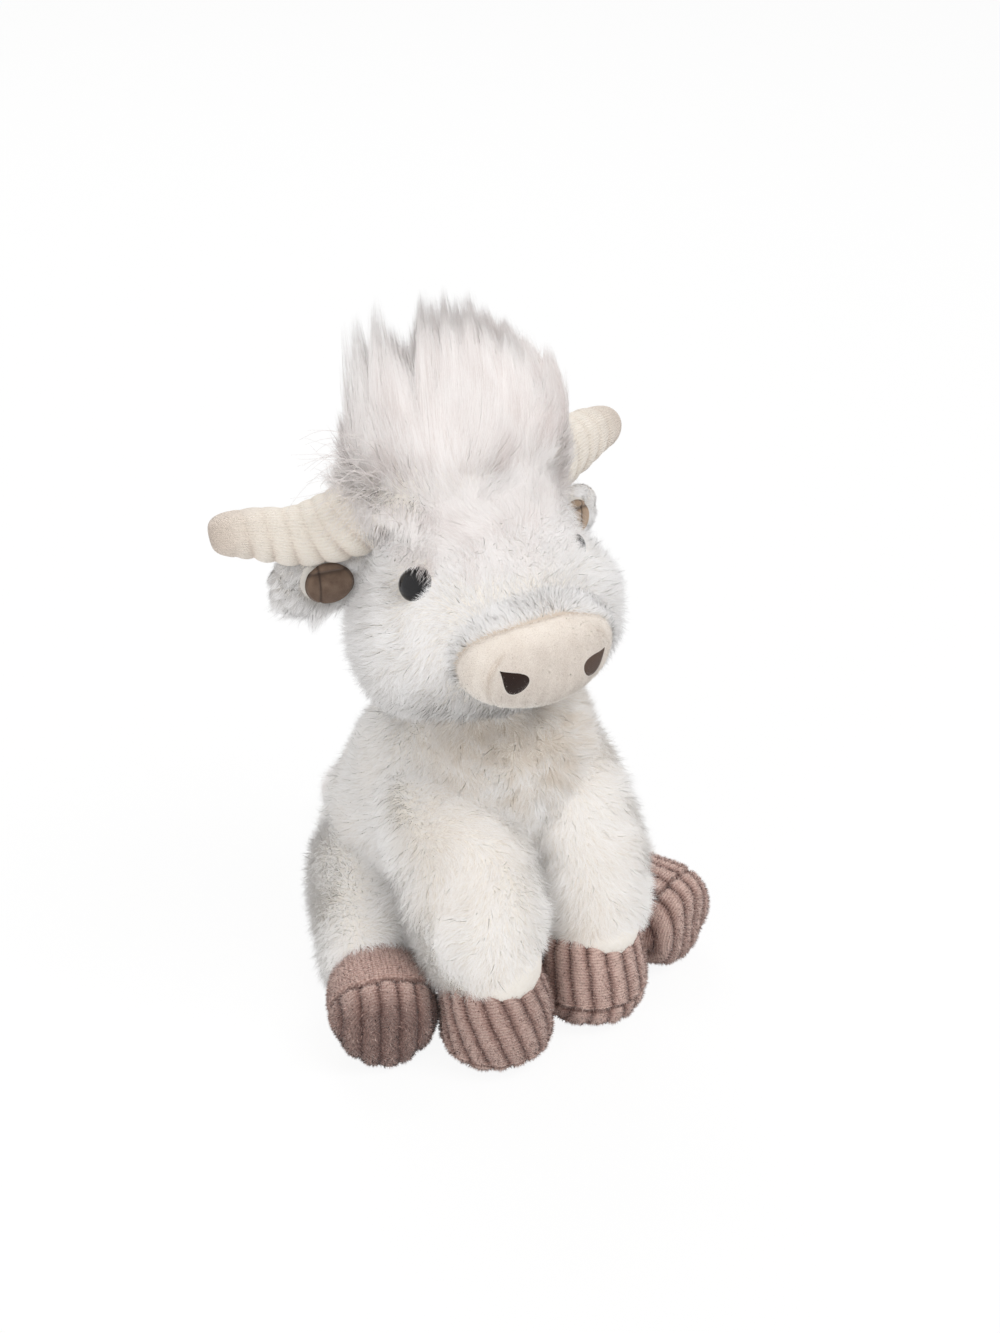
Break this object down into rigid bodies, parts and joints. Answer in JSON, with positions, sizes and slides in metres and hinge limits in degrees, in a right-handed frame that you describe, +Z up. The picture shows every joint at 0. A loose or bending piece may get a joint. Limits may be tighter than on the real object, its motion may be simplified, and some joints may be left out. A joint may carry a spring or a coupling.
{
  "type": "plush highland cow",
  "caption": "Sitting plush highland cow with shaggy fur, a tall forelock, corduroy horns and hooves, a smooth muzzle and bead eyes.",
  "frame": {"origin": "on the flat underside of the seat, under the middle of the torso", "axes": "+Z up from the floor the cow sits on; -Y the way the cow faces; +X the cow's own left"},
  "size_m": [0.1738, 0.1941, 0.2732],
  "materials": {
    "fur": "matte",
    "long_fur": "matte",
    "velboa": "matte",
    "horn_cord": "matte",
    "hoof_cord": "matte",
    "suede": "matte",
    "thread": "satin",
    "eye": "gloss",
    "washer": "matte",
    "fill": "matte",
    "pellets": "matte"
  },
  "bodies": {
    "torso": {"torso_skin": "fur", "torso_stuffing": "fill", "pellet_bag": "pellets"},
    "head": {"head_skin": "fur", "head_stuffing": "fill", "muzzle_cover": "velboa", "forelock": "long_fur", "nostril_left": "thread", "eye_left": "eye", "eye_washer_left": "washer", "horn_left": "horn_cord", "horn_stuffing_left": "fill", "nostril_right": "thread", "eye_right": "eye", "eye_washer_right": "washer", "horn_right": "horn_cord", "horn_stuffing_right": "fill"},
    "ear_left": {"ear_left": "fur", "ear_lining_left": "suede"},
    "ear_right": {"ear_right": "fur", "ear_lining_right": "suede"},
    "front_leg_left": {"front_leg_left": "fur", "front_leg_left_hoof": "hoof_cord", "front_leg_left_sole": "hoof_cord", "front_leg_left_stuffing": "fill"},
    "front_leg_right": {"front_leg_right": "fur", "front_leg_right_hoof": "hoof_cord", "front_leg_right_sole": "hoof_cord", "front_leg_right_stuffing": "fill"},
    "hind_leg_left": {"hind_leg_left": "fur", "hind_leg_left_hoof": "hoof_cord", "hind_leg_left_sole": "hoof_cord", "hind_leg_left_stuffing": "fill"},
    "hind_leg_right": {"hind_leg_right": "fur", "hind_leg_right_hoof": "hoof_cord", "hind_leg_right_sole": "hoof_cord", "hind_leg_right_stuffing": "fill"},
    "tail": {"tail": "fur", "tail_tuft": "long_fur"}
  },
  "joints": [
    {"name": "neck_nod", "type": "hinge", "parent": "torso", "child": "head", "pos_m": [0, -0.038, 0.112], "axis": [1, 0, 0], "range_deg": [-10, 10], "stiffness_Nm_per_rad": 0.8},
    {"name": "ear_swing_left", "type": "hinge", "parent": "head", "child": "ear_left", "pos_m": [0.04, -0.0081, 0.1732], "axis": [0, 0, 1], "range_deg": [-14, 14], "stiffness_Nm_per_rad": 0.01},
    {"name": "ear_swing_right", "type": "hinge", "parent": "head", "child": "ear_right", "pos_m": [-0.04, -0.0081, 0.1732], "axis": [0, 0, 1], "range_deg": [-14, 14], "stiffness_Nm_per_rad": 0.01},
    {"name": "shoulder_swing_left", "type": "hinge", "parent": "torso", "child": "front_leg_left", "pos_m": [0.0245, -0.041, 0.088], "axis": [-1, 0, 0], "range_deg": [0, 24], "stiffness_Nm_per_rad": 0.15},
    {"name": "shoulder_swing_right", "type": "hinge", "parent": "torso", "child": "front_leg_right", "pos_m": [-0.0245, -0.041, 0.088], "axis": [-1, 0, 0], "range_deg": [0, 24], "stiffness_Nm_per_rad": 0.15},
    {"name": "hip_spread_left", "type": "hinge", "parent": "torso", "child": "hind_leg_left", "pos_m": [0.032, 0.016, 0.042], "axis": [0, 0, 1], "range_deg": [0, 16], "stiffness_Nm_per_rad": 0.15},
    {"name": "hip_spread_right", "type": "hinge", "parent": "torso", "child": "hind_leg_right", "pos_m": [-0.032, 0.016, 0.042], "axis": [0, 0, -1], "range_deg": [0, 16], "stiffness_Nm_per_rad": 0.15},
    {"name": "tail_swing", "type": "hinge", "parent": "torso", "child": "tail", "pos_m": [0, 0.05325, 0.04002], "axis": [0, 0, 1], "range_deg": [-20, 20], "stiffness_Nm_per_rad": 0.01}
  ]
}
